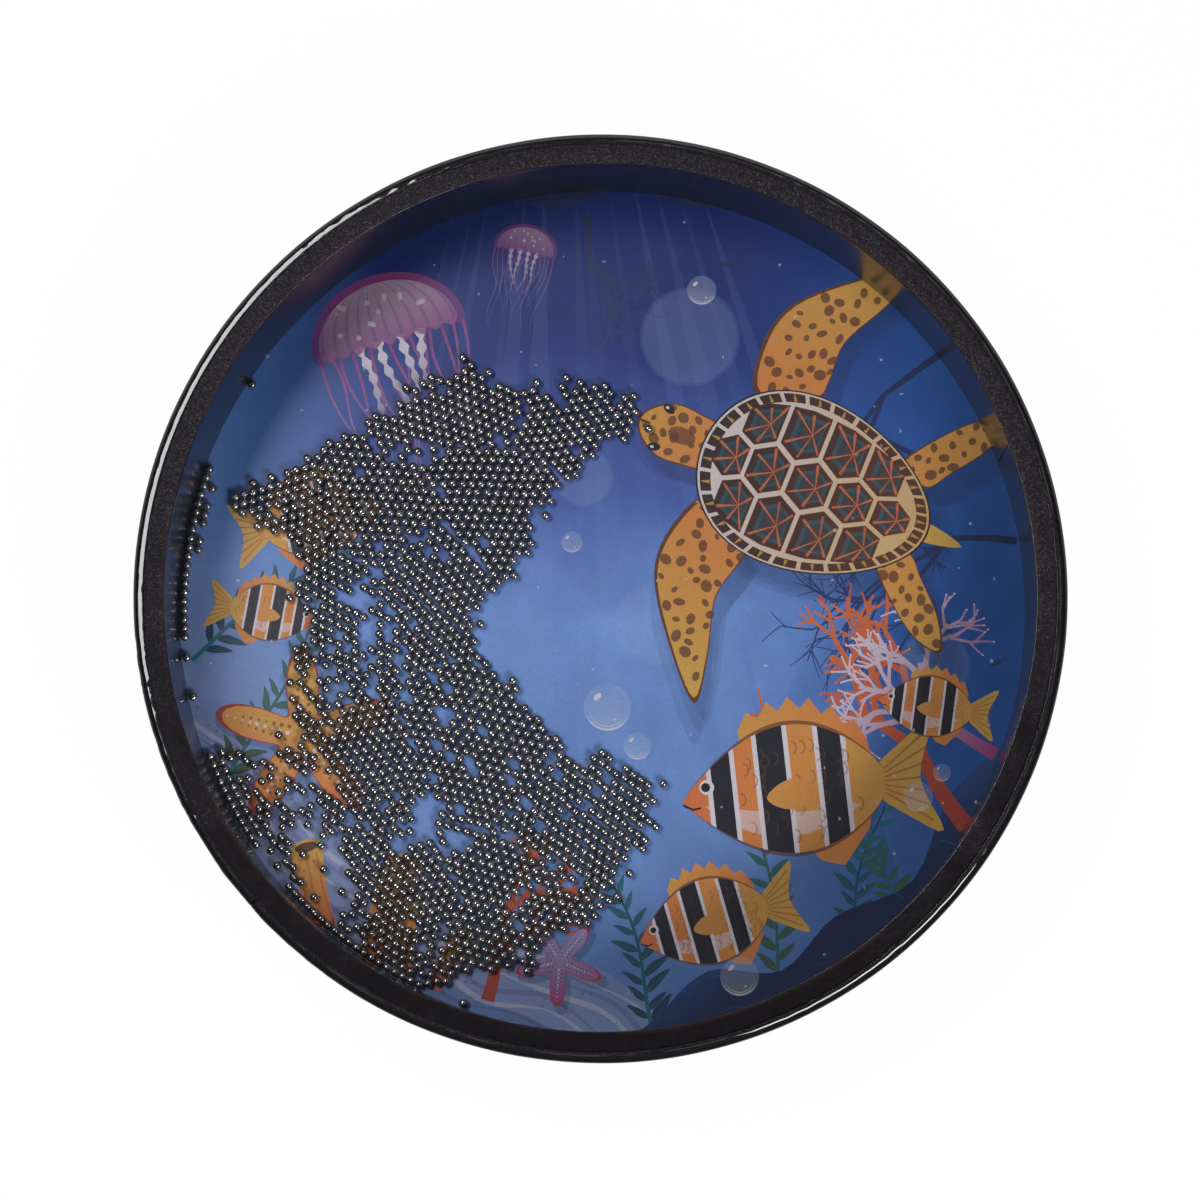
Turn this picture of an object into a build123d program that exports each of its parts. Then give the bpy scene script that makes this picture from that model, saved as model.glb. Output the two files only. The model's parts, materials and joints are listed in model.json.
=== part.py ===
from build123d import *
import math
import os
import random

# Ocean drum: a shallow bent hoop closed by two flat film heads, with loose steel shot trapped between them.
# The axis of the hoop is +Z, the drum stands on its printed head at Z = 0, and all sizes are millimetres.

# The drum as a whole
overall_diameter = 305.0
overall_height = 45.0

# The hoop and what is glued to it
shell_wall = 9.4
scarf_length = 60.0
scarf_azimuth = 148.0
lining_thickness = 0.3
lining_seam_azimuth = 20.0
glue_film = 0.05
glue_line = 0.15

# The two heads and the rings of adhesive that hold them
head_thickness = 0.3
head_edge_gap = 0.05
bond_thickness = 0.1

# The edge wrap, a strip folded over the rims of both heads
wrap_thickness = 0.4
wrap_corner_radius = 3.0
upper_lip_flat = 0.6
lower_lip_flat = 5.0
wrap_seam_azimuth = 222.0
seam_width = 0.4

# The shot
ball_diameter = 3.0
rest_gap = 0.15
wall_gap = 0.3
ball_gap = 0.05
tightest_gap_share = 0.6
lattice_looseness = 1.06
vacant_share = 0.03
ball_jitter = 0.25
row_sway = 1.2
row_sway_length = 75.0
seam_sway = 2.5
seam_sway_length = 30.0
edge_raggedness = 2.4
settling_rounds = 70

# Places on the floor of the chamber are in hundredths of its radius, to the right and away from the player.
bed_outline = [
    (-33, 58), (-27, 55), (-15, 53), (-1, 54), (8, 51), (9, 41), (-2, 37), (-10, 28), (-16, 23),
    (-17, 12), (-26, 4), (-29, -2), (-27, -13), (-22, -18), (-13, -30), (-6, -37), (2, -35),
    (11, -40), (12, -51), (5, -63), (-1, -74), (-10, -78), (-18, -85), (-33, -87), (-41, -91),
    (-59, -80), (-75, -66), (-89, -46), (-92, -36), (-79, -32), (-72, -31), (-73, -15),
    (-69, -6), (-74, 4), (-73, 15), (-85, 20), (-87, 28), (-79, 31), (-71, 34), (-62, 39),
    (-52, 46), (-41, 55),
]

# Each patch of the bed: the middle of the patch and the way its rows of balls run, in degrees
bed_patches = {
    "shot_top_right": (-4, 46, 8),
    "shot_top": (-35, 46, 42),
    "shot_upper_middle": (-27, 27, 3),
    "shot_far_left": (-77, 25, 20),
    "shot_upper_left": (-58, 25, 52),
    "shot_left": (-62, 1, 33),
    "shot_middle": (-39, 1, 15),
    "shot_lower_left": (-59, -30, 5),
    "shot_lower_middle": (-32, -31, 50),
    "shot_wall_side": (-77, -46, 28),
    "shot_bottom_left": (-52, -73, 10),
    "shot_lower_right": (-1, -52, 22),
    "shot_bottom": (-22, -72, 47),
}

# Thin places in the bed: middle, radius and the share of balls missing at the middle
thin_places = [
    (-57, 3, 6, 0.7), (-54, -7, 6, 0.5), (-62, -12, 9, 0.35), (-67, -22, 12, 0.3), (-44, 37, 4, 0.7),
    (-46, 28, 4, 0.5), (-43, 14, 4, 0.6), (-37, 10, 3, 0.7), (-41, -50, 6, 0.9), (-34, -55, 5, 0.8),
    (-47, -57, 4, 0.7), (-80, -44, 18, 0.5), (-67, -65, 9, 0.6), (-62, -72, 6, 0.7), (-38, -28, 4, 0.5),
    (-33, -37, 4, 0.5), (-71, -56, 13, 0.4), (-52, -18, 7, 0.35), (-77, 16, 8, 0.4), (-78, -32, 8, 0.4),
    (-70, 8, 10, 0.2), (-12, -60, 4, 0.4), (-20, -66, 3, 0.5),
]

# Rows of balls along the wall: node, azimuth of the first ball, count, rows away from the wall, share missing
wall_rows = [
    ("wall_shot_left", 160.5, 20, 0, 0.0),
    ("wall_shot_left", 163.0, 8, 1, 0.2),
    ("wall_shot_left", 187.0, 1, 0, 0.0),
    ("wall_shot_lower", 201.0, 12, 0, 0.05),
    ("wall_shot_lower", 202.3, 7, 1, 0.1),
    ("wall_shot_lower", 222.0, 19, 0, 0.05),
]

# Single balls that have rolled away from the rest, against the wall and in the open
wall_strays = {"stray_upper_wall": 147.4, "stray_left_wall": 192.5, "stray_bottom_wall": 250.9}
open_strays = {
    "stray_right": (14.6, -42.0),
    "stray_middle": (-13.2, 21.6),
    "stray_top_right": (11.2, 42.4),
    "stray_top": (-33.0, 59.6),
}

# What follows from these sizes
outer_radius = overall_diameter / 2
shell_outer = outer_radius - wrap_thickness - glue_film
shell_inner = shell_outer - shell_wall
shell_corner_radius = wrap_corner_radius - wrap_thickness - glue_film
chamber_radius = shell_inner - glue_film - lining_thickness
fold_radius = outer_radius - wrap_corner_radius
head_radius = fold_radius - head_edge_gap
floor_of_wrap = wrap_thickness
shell_bottom = floor_of_wrap + head_thickness + bond_thickness
shell_height = overall_height - 2 * shell_bottom
shell_top = shell_bottom + shell_height
chamber_floor = floor_of_wrap + head_thickness
ball_radius = ball_diameter / 2
ball_height = chamber_floor + rest_gap + ball_radius
track_radius = chamber_radius - wall_gap - ball_radius
spacing = ball_diameter + ball_gap
tightest_spacing = ball_diameter + tightest_gap_share * ball_gap
hundredth = chamber_radius / 100


def polar(radius, azimuth):
    """A point on the plan, from its distance to the axis and its azimuth in degrees."""
    return radius * math.cos(math.radians(azimuth)), radius * math.sin(math.radians(azimuth))


def disc(radius, bottom, height):
    """A round plate whose underside is at the height bottom."""
    upright = (Align.CENTER, Align.CENTER, Align.MIN)
    return Pos(0, 0, bottom) * Cylinder(radius, height, align=upright)


def ring(outer, inner, bottom, height):
    """A round ring with square corners."""
    return disc(outer, bottom, height) - disc(inner, bottom, height)


def slot(start, end, width):
    """An upright cutting sheet from one point of the plan to another, taller than the drum."""
    run = math.dist(start, end)
    turn = math.degrees(math.atan2(end[1] - start[1], end[0] - start[0]))
    middle = Pos((start[0] + end[0]) / 2, (start[1] + end[1]) / 2, overall_height / 2)
    return middle * Rot(0, 0, turn) * Box(run, width, 2 * overall_height)


def wound(section, seam_azimuth, radius):
    """A strip with this section in the XZ plane, bent round the axis until its ends all but meet."""
    seam_turn = math.degrees(seam_width / radius)
    return Rot(0, 0, seam_azimuth + seam_turn / 2) * revolve(section, Axis.Z, 360 - seam_turn)


def make_shell():
    """The hoop: one strip bent round, its tapered ends overlapping in a glued scarf joint."""
    mid_radius = shell_outer - shell_wall / 2
    middle = Pos(mid_radius, 0, shell_bottom + shell_height / 2)
    section = middle * Rot(90, 0, 0) * Rectangle(shell_wall, shell_height)
    outer_corners = section.vertices().filter_by(lambda corner: corner.X > mid_radius)
    hoop = revolve(fillet(outer_corners, shell_corner_radius), Axis.Z)
    scarf_turn = math.degrees(scarf_length / shell_outer)
    outer_end = polar(shell_outer + shell_wall / 4, scarf_azimuth)
    inner_end = polar(shell_inner - shell_wall / 4, scarf_azimuth + scarf_turn)
    return hoop - slot(outer_end, inner_end, glue_line)


def make_lining():
    """The glossy foil on the inside of the hoop, a strip whose ends butt together."""
    middle = Pos(chamber_radius + lining_thickness / 2, 0, shell_bottom + shell_height / 2)
    section = middle * Rot(90, 0, 0) * Rectangle(lining_thickness, shell_height)
    return wound(section, lining_seam_azimuth, chamber_radius)


def make_bond(bottom):
    """A flat ring of adhesive between a head and the rim of the hoop."""
    return ring(head_radius, shell_inner, bottom, bond_thickness)


def make_edge_wrap():
    """The outer strip: a band round the hoop with a rounded fold and a flat lip over each head."""
    inside_corner = wrap_corner_radius - wrap_thickness
    inner_wall = outer_radius - wrap_thickness
    top = overall_height
    upper_lip = fold_radius - upper_lip_flat
    lower_lip = fold_radius - lower_lip_flat
    slant = math.sqrt(0.5)
    low, high = wrap_corner_radius, top - wrap_corner_radius

    def bend(radius, centre_height, side):
        """A quarter round from the band to a lip: side is 1 at the upper lip and -1 at the lower one."""
        centre = Vector(fold_radius, 0, centre_height)
        across, along = Vector(radius, 0, 0), Vector(0, 0, side * radius)
        return ThreePointArc(centre + along, centre + (across + along) * slant, centre + across)

    edges = [
        Line((lower_lip, 0, 0), (fold_radius, 0, 0)),
        bend(wrap_corner_radius, low, -1),
        Line((outer_radius, 0, low), (outer_radius, 0, high)),
        bend(wrap_corner_radius, high, 1),
        Line((fold_radius, 0, top), (upper_lip, 0, top)),
        Line((upper_lip, 0, top), (upper_lip, 0, top - wrap_thickness)),
        Line((upper_lip, 0, top - wrap_thickness), (fold_radius, 0, top - wrap_thickness)),
        bend(inside_corner, high, 1),
        Line((inner_wall, 0, high), (inner_wall, 0, low)),
        bend(inside_corner, low, -1),
        Line((fold_radius, 0, wrap_thickness), (lower_lip, 0, wrap_thickness)),
        Line((lower_lip, 0, wrap_thickness), (lower_lip, 0, 0)),
    ]
    return wound(make_face(edges), wrap_seam_azimuth, outer_radius)


def inside_bed(x, y):
    """Is this place inside the outline of the bed of shot?"""
    inside = False
    for (ax, ay), (bx, by) in zip(bed_outline, bed_outline[1:] + bed_outline[:1]):
        if (ay > y) != (by > y) and x < ax + (y - ay) / (by - ay) * (bx - ax):
            inside = not inside
    return inside


def missing_share(x, y):
    """The share of balls left out at a place of the bed, in hundredths of the chamber's radius."""
    share = vacant_share
    for px, py, reach, most in thin_places:
        away = math.dist((x, y), (px, py)) / reach
        share += most * max(0.0, 1.0 - away * away)
    return share


def nearest_patch(x, y):
    """The patch that a ball belongs to. The borders sway a little, as no patch ends on a straight line."""
    wave = 2 * math.pi / seam_sway_length
    place = x + seam_sway * math.sin(wave * y), y + seam_sway * math.sin(wave * x)
    return min(bed_patches, key=lambda name: math.dist(place, bed_patches[name][:2]))


def wall_shot():
    """The balls that lie in rows against the wall, as (node, [x, y])."""
    draw = random.Random(3)
    balls = []
    for node, start, count, row, missing in wall_rows:
        radius = track_radius - row * spacing
        step = math.degrees(2 * math.asin(spacing / 2 / radius))
        for number in range(count):
            if draw.random() >= missing:
                balls.append((node, list(polar(radius, start + number * step))))
    return balls


def stray_shot():
    """The single balls, as (node, [x, y])."""
    balls = [(node, list(polar(track_radius, azimuth))) for node, azimuth in wall_strays.items()]
    balls += [(node, [x * hundredth, y * hundredth]) for node, (x, y) in open_strays.items()]
    return balls


def bed_shot():
    """The balls of the bed before they settle: swaying rows with balls missing, as (node, [x, y])."""
    draw = random.Random(5)
    pitch = lattice_looseness * spacing
    wave = 2 * math.pi / row_sway_length
    reach = int(0.5 * chamber_radius / pitch)
    balls = []
    for node, (middle_x, middle_y, lay) in bed_patches.items():
        cosine, sine = polar(1.0, lay)
        for row in range(-reach, reach + 1):
            for column in range(-reach, reach + 1):
                along = (column + row % 2 / 2) * pitch
                across = row * pitch * math.sqrt(3) / 2
                x = middle_x * hundredth + along * cosine - across * sine
                y = middle_y * hundredth + along * sine + across * cosine
                x += row_sway * math.sin(wave * y) + draw.uniform(-ball_jitter, ball_jitter)
                y += row_sway * math.sin(wave * x) + draw.uniform(-ball_jitter, ball_jitter)
                ragged_x = (x + draw.uniform(-edge_raggedness, edge_raggedness)) / hundredth
                ragged_y = (y + draw.uniform(-edge_raggedness, edge_raggedness)) / hundredth
                here = x / hundredth, y / hundredth
                stays = draw.random() >= missing_share(*here)
                in_bed = inside_bed(ragged_x, ragged_y) and math.hypot(x, y) <= track_radius
                if stays and in_bed and nearest_patch(*here) == node:
                    balls.append((node, [x, y]))
    return balls


def cell_of(place):
    """The square of a grid, one ball spacing wide, that a place falls in."""
    return int(place[0] // spacing), int(place[1] // spacing)


def around(cells, cell):
    """What is in a square of the grid and the eight round it."""
    column, row = cell
    squares = [(column + i, row + j) for i in (-1, 0, 1) for j in (-1, 0, 1)]
    return [item for square in squares for item in cells.get(square, ())]


def push_apart(places, one, other, held):
    """Moves two balls that are too close until they clear. The first ones, held in place, don't move."""
    (ax, ay), (bx, by) = places[one], places[other]
    apart = max(math.hypot(bx - ax, by - ay), 1e-6)
    if apart >= spacing or other < held:
        return
    share = 1.0 if one < held else 0.5
    push = (spacing - apart) / apart
    places[other][0] += share * push * (bx - ax)
    places[other][1] += share * push * (by - ay)
    places[one][0] -= (1 - share) * push * (bx - ax)
    places[one][1] -= (1 - share) * push * (by - ay)


def settle(places, held):
    """Rolls crowded balls apart on the head, inside the wall."""
    for _ in range(settling_rounds):
        cells = {}
        for number, place in enumerate(places):
            cells.setdefault(cell_of(place), []).append(number)
        for cell, numbers in cells.items():
            near = around(cells, cell)
            for one in numbers:
                for other in near:
                    if other > one:
                        push_apart(places, one, other, held)
        for place in places[held:]:
            inward = min(1.0, track_radius / math.hypot(*place))
            place[0] *= inward
            place[1] *= inward


def lay_out_shot():
    """Every ball's place on the plan, by node. A ball that found no room is left out."""
    fixed_balls = stray_shot() + wall_shot()
    balls = fixed_balls + bed_shot()
    settle([place for _, place in balls], len(fixed_balls))
    cells, groups = {}, {}
    for node, place in balls:
        near = around(cells, cell_of(place))
        if all(math.dist(place, other) >= tightest_spacing for other in near):
            cells.setdefault(cell_of(place), []).append(place)
            groups.setdefault(node, []).append(place)
    return groups


def make_shot(places):
    """A group of separate steel balls lying on the printed head."""
    return Compound([Solid.make_sphere(ball_radius, Plane((x, y, ball_height))) for x, y in places])


pieces = {
    "shell": make_shell(),
    "inner_lining": make_lining(),
    "lower_head": disc(head_radius, floor_of_wrap, head_thickness),
    "lower_bond": make_bond(chamber_floor),
    "upper_bond": make_bond(shell_top),
    "upper_head": disc(head_radius, shell_top + bond_thickness, head_thickness),
    "edge_wrap": make_edge_wrap(),
}
shot = lay_out_shot()
pieces.update({node: make_shot(places) for node, places in shot.items()})

os.makedirs("parts", exist_ok=True)
for name, shape in pieces.items():
    export_step(shape, f"parts/{name}.step")
print(len(pieces), "nodes,", sum(len(places) for places in shot.values()), "balls")
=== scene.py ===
import json
import math
import random

import bmesh
import bpy
import numpy as np
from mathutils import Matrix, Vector
from mathutils.geometry import delaunay_2d_cdt


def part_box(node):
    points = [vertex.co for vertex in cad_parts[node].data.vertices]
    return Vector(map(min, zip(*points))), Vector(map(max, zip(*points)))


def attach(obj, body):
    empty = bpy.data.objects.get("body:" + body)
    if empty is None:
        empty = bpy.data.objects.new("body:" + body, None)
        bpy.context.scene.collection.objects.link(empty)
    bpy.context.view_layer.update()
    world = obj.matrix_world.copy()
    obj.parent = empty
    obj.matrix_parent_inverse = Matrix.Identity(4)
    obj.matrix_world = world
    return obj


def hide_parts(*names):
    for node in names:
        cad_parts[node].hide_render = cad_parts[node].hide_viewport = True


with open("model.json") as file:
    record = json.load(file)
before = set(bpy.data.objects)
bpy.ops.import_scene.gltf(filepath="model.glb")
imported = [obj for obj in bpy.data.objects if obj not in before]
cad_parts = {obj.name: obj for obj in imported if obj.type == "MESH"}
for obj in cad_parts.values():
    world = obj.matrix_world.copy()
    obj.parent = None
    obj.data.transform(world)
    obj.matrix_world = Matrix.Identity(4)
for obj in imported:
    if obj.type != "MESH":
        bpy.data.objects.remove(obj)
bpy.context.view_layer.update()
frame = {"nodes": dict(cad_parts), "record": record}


# The hoop
# One strip of black-stained pressed wood fibre, bent round and closed with a glued scarf joint.
# The wrap, the lining and the bonds cover it, and the CAD node keeps its shape.

mm = 0.001


def new_material(name):
    """A material with an empty node tree, and the tree."""
    material = bpy.data.materials.new(name)
    material.use_nodes = True
    material.node_tree.nodes.clear()
    return material, material.node_tree


def add(tree, kind, inputs, **settings):
    """Adds a node. An input that is given a socket is linked to it, and any other value is set."""
    node = tree.nodes.new("ShaderNode" + kind)
    for name, value in settings.items():
        setattr(node, name, value)
    for name, value in inputs.items():
        if isinstance(value, bpy.types.NodeSocket):
            tree.links.new(value, node.inputs[name])
        elif node.inputs[name].type == "RGBA" and len(value) == 3:
            node.inputs[name].default_value = (*value, 1.0)
        else:
            node.inputs[name].default_value = value
    return node


def work_out(tree, operation, *values):
    """One step of arithmetic on numbers or sockets."""
    return add(tree, "Math", dict(enumerate(values)), operation=operation).outputs[0]


def times(tree, first, second):
    """The product of two numbers or sockets."""
    return work_out(tree, "MULTIPLY", first, second)


def rise(tree, value, low, high):
    """A smooth step from 0 at low to 1 at high, or a fall where low is above high."""
    inputs = {"Value": value, "From Min": low, "From Max": high}
    return add(tree, "MapRange", inputs, interpolation_type="SMOOTHSTEP").outputs[0]


def blend(tree, share, first, second):
    """A colour between two others."""
    inputs = {0: share, 6: first, 7: second}
    return add(tree, "Mix", inputs, data_type="RGBA").outputs[2]


def grain(tree, place, size, detail=2.0, roughness=0.5):
    """Random grain between 0 and 1 whose clumps are about this many metres wide."""
    inputs = {"Vector": place, "Scale": 1 / size, "Detail": detail, "Roughness": roughness}
    return add(tree, "TexNoise", inputs).outputs[0]


def bumps(tree, height, depth):
    """A surface that is raised by up to this many metres where the height is 1."""
    return add(tree, "Bump", {"Height": height, "Distance": depth, "Strength": 1.0}).outputs[0]


def object_place(tree):
    """The place on the object, in metres."""
    return add(tree, "TexCoord", {}).outputs["Object"]


def coat(material, inputs):
    """Ends a material with one principled surface."""
    tree = material.node_tree
    shader = add(tree, "BsdfPrincipled", inputs)
    add(tree, "OutputMaterial", {"Surface": shader.outputs[0]})
    return material


def dress(node, material):
    """Gives a CAD node its finish."""
    slots = frame["nodes"][node].data.materials
    slots.clear()
    slots.append(material)


def hoop_fibre():
    """Black-stained wood fibre: short pale fibres in a dark brown-black ground, matte."""
    material, tree = new_material("hoop_fibre")
    place = object_place(tree)
    fibre = grain(tree, place, 0.7 * mm, detail=4.0, roughness=0.7)
    stain = grain(tree, place, 14 * mm, detail=3.0)
    ground = blend(tree, stain, (0.012, 0.010, 0.010), (0.030, 0.022, 0.020))
    colour = blend(tree, rise(tree, fibre, 0.58, 0.75), ground, (0.085, 0.060, 0.045))
    inputs = {"Base Color": colour, "Roughness": 0.75, "Normal": bumps(tree, fibre, 0.05 * mm)}
    return coat(material, inputs)


dress("shell", hoop_fibre())


# The lining
# A strip of glossy black foil glued round the inside of the hoop, its ends butted at one seam.
# It is a little wavy, as the fibre under it is, and its cut top edge is rounded over.

lining_low, lining_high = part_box("inner_lining")
lining_outer = lining_high.x / mm
lining_inner = min(v.co.xy.length for v in frame["nodes"]["inner_lining"].data.vertices) / mm
lining_bottom = lining_low.z / mm
lining_top = lining_high.z / mm
lining_seam = math.radians(20)
lining_steps = 540
lining_rows = 14
lining_wave = 0.035
seam_gap = 0.4


def seam_to_seam(seam, radius, steps):
    """Azimuths from one end of a wound strip to the other, with the seam's gap left open."""
    half_gap = seam_gap / radius / 2
    return np.linspace(seam + half_gap, seam + 2 * math.pi - half_gap, steps)


def full_turn(steps):
    """Even azimuths once round."""
    return np.linspace(0, 2 * math.pi, steps, endpoint=False)


def ripple(turns, waves, seed):
    """A random wavy line round the drum, mostly within -1 and 1, from sine waves of these counts per turn."""
    draw = random.Random(seed)
    total = 0.0
    for count in waves:
        total = total + math.sqrt(2 / len(waves)) * np.sin(count * turns + draw.uniform(0, 2 * math.pi))
    return total


def wound_strip(name, loop, turns, closed=False):
    """A strip bent round the axis. Its section is a loop of radii and heights, each the same at every azimuth
    or given for each."""
    steps, corners = len(turns), len(loop)
    radius = np.stack([np.broadcast_to(point[0], steps) for point in loop], axis=1)
    height = np.stack([np.broadcast_to(point[1], steps) for point in loop], axis=1)
    around = turns[:, None]
    points = np.stack([radius * np.cos(around), radius * np.sin(around), height], axis=-1).reshape(-1, 3)
    faces = []
    for step in range(steps if closed else steps - 1):
        here, there = step * corners, (step + 1) % steps * corners
        for corner in range(corners):
            after = (corner + 1) % corners
            faces.append((here + corner, there + corner, there + after, here + after))
    if not closed:
        last = (steps - 1) * corners
        faces.append(tuple(range(corners)))
        faces.append(tuple(range(last, last + corners))[::-1])
    mesh = bpy.data.meshes.new(name)
    mesh.from_pydata((points * mm).tolist(), [], faces)
    shape = bmesh.new()
    shape.from_mesh(mesh)
    bmesh.ops.recalc_face_normals(shape, faces=shape.faces)
    shape.to_mesh(mesh)
    shape.free()
    mesh.shade_smooth()
    mesh.set_sharp_from_angle(angle=math.radians(50))
    return mesh


def add_piece(name, mesh, material):
    """Puts a new mesh into the scene."""
    mesh.materials.append(material)
    piece = bpy.data.objects.new(name, mesh)
    bpy.context.scene.collection.objects.link(piece)
    return piece


def lining_mesh():
    """The foil's inner face with its waves, a rounded top edge and a plain back."""
    turns = seam_to_seam(lining_seam, lining_inner, lining_steps)
    round_over = lining_outer - lining_inner
    loop = []
    for row in np.linspace(0, 1, lining_rows):
        height = lining_bottom + row * (lining_top - round_over - lining_bottom)
        wave = ripple(turns + 0.35 * row, (9, 14, 23, 31), 1) + ripple(turns - 0.5 * row, (41, 57), 2)
        lift = lining_wave * math.sin(math.pi * row) * (1 + wave / 2)
        loop.append((lining_inner + lift, height))
    for bend in np.radians((25, 50, 70, 90)):
        radius = lining_outer - round_over * math.cos(bend)
        height = lining_top - round_over * (1 - math.sin(bend))
        loop.append((radius, height))
    loop.append((lining_outer, lining_bottom))
    return wound_strip("lining", loop, turns)


def inner_foil():
    """Glossy black foil with faint scuffs. Its cut top edge shows some of the reddish fibre behind it."""
    material, tree = new_material("inner_foil")
    place = object_place(tree)
    height = add(tree, "SeparateXYZ", {"Vector": place}).outputs["Z"]
    scuff = grain(tree, place, 6 * mm, detail=5.0, roughness=0.65)
    foil = blend(tree, scuff, (0.006, 0.006, 0.009), (0.014, 0.015, 0.022))
    patch = rise(tree, grain(tree, place, 40 * mm), 0.52, 0.66)
    edge = rise(tree, height, (lining_top - 0.25) * mm, (lining_top - 0.05) * mm)
    colour = blend(tree, times(tree, edge, patch), foil, (0.038, 0.019, 0.016))
    inputs = {
        "Base Color": colour,
        "Roughness": work_out(tree, "MULTIPLY_ADD", scuff, 0.10, 0.16),
        "IOR": 1.5,
        "Normal": bumps(tree, scuff, 0.02 * mm),
    }
    return coat(material, inputs)


lining = add_piece("lining", lining_mesh(), inner_foil())
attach(lining, "drum")
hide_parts("inner_lining")


# The printed head
# A disc of opaque film, glued under the hoop, with a sea picture printed on its upper side.
# The picture is cut into the film's mesh as flat shapes of ink, laid over each other as a printer does.

head_low, head_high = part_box("lower_head")
head_radius = head_high.x / mm
ink_radius = head_radius - 1.5
rim_steps = 360
coral_forks = 5
picture = []

indigo = (0.030, 0.045, 0.165)
navy = (0.010, 0.020, 0.070)
sea_blue = (0.020, 0.090, 0.270)
pale_blue = (0.300, 0.430, 0.650)
lilac = (0.210, 0.230, 0.420)
white = (0.580, 0.540, 0.600)
black = (0.014, 0.014, 0.022)
brown = (0.110, 0.040, 0.022)
orange = (0.560, 0.135, 0.045)
yellow = (0.520, 0.310, 0.065)
red = (0.300, 0.040, 0.030)
magenta = (0.270, 0.035, 0.170)
violet = (0.085, 0.035, 0.170)
teal = (0.015, 0.130, 0.170)
moss = (0.050, 0.075, 0.020)


def pairs(x, y):
    """Points from their two coordinates."""
    return np.stack([x, y], axis=-1)


def smooth(points, closed=True, steps=6):
    """A flowing line through given points."""
    points = np.array(points, float)
    count = len(points)
    spans = count if closed else count - 1
    pick = (lambda i: points[i % count]) if closed else (lambda i: points[min(max(i, 0), count - 1)])
    line = []
    for i in range(spans):
        before, start, end, after = pick(i - 1), pick(i), pick(i + 1), pick(i + 2)
        for t in np.linspace(0, 1, steps, endpoint=False):
            line.append(0.5 * (2 * start + (end - before) * t
                               + (2 * before - 5 * start + 4 * end - after) * t * t
                               + (3 * start - before - 3 * end + after) * t ** 3))
    if not closed:
        line.append(points[-1])
    return np.array(line)


def oval(centre, width, height, turn=0.0, steps=14):
    """An ellipse, by its half width and half height, turned by degrees."""
    t = full_turn(steps)
    return placed(pairs(width * np.cos(t), height * np.sin(t)), centre, turn)


def placed(points, at, turn=0.0, size=1.0):
    """A shape drawn round its own origin, turned by degrees, sized, and moved to its place."""
    cosine, sine = math.cos(math.radians(turn)), math.sin(math.radians(turn))
    return size * np.array(points, float) @ np.array([[cosine, sine], [-sine, cosine]]) + np.array(at, float)


def ribbon(path, widths):
    """The outline of a line of changing width along an open path."""
    path = np.array(path, float)
    along = np.gradient(path, axis=0)
    along /= np.maximum(np.hypot(along[:, 0], along[:, 1]), 1e-9)[:, None]
    across = pairs(-along[:, 1], along[:, 0])
    half = (np.broadcast_to(widths, len(path)) / 2)[:, None]
    return np.concatenate([path + half * across, (path - half * across)[::-1]])


def paint(outline, ink, fade=None, start=(0, 0), end=(0, 1), cover=1.0):
    """Lays a shape of ink on the film. The ink fades to a second one from start to end."""
    away = np.maximum(np.hypot(outline[:, 0], outline[:, 1]), 1e-9)
    outline = outline * np.minimum(1.0, ink_radius / away)[:, None]
    picture.append((outline, np.array(ink), np.array(fade or ink), np.array(start), np.array(end), cover))


def stamp(at, turn, size, flip=1):
    """A way to lay shapes that are drawn round their own origin, all at one place, turn and size."""
    def lay(shape, *inks, **more):
        paint(placed(np.array(shape) * (1, flip), at, turn, size), *inks, **more)
    return lay


def dot(at, radius, ink, cover=1.0, steps=8):
    """Lays a round dot of ink."""
    paint(oval(at, radius, radius, steps=steps), ink, cover=cover)


def inside(outline, points):
    """Which of the points lie inside a closed outline, by how often it winds round them."""
    ax, ay = outline[:, 0], outline[:, 1]
    bx, by = np.roll(ax, -1), np.roll(ay, -1)
    px, py = points[:, :1], points[:, 1:]
    side = (bx - ax) * (py - ay) - (px - ax) * (by - ay)
    up = (ay <= py) & (by > py) & (side > 0)
    down = (ay > py) & (by <= py) & (side < 0)
    return up.sum(axis=1) != down.sum(axis=1)


def spots_in(outline, count, seed, margin):
    """Random places inside an outline, no two nearer than the margin."""
    draw = random.Random(seed)
    low, high = outline.min(axis=0), outline.max(axis=0)
    found = []
    for _ in range(40 * count):
        spot = np.array([draw.uniform(low[0], high[0]), draw.uniform(low[1], high[1])])
        clear = all(np.hypot(*(spot - other)) > margin for other in found)
        if len(found) < count and clear and inside(outline, spot[None])[0]:
            found.append(spot)
    return found


def light_rays():
    """Sunlight that falls through the water in long pale wedges."""
    draw = random.Random(11)
    for foot in range(-120, 121, 20):
        x = foot + draw.uniform(-8, 8)
        wide = draw.uniform(5, 13)
        top = np.array([0.35 * x - 10, 150])
        wedge = np.array([top, (x + wide, -110), (x - wide, -118)])
        paint(wedge, pale_blue, cover=draw.uniform(0.02, 0.05))


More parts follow.
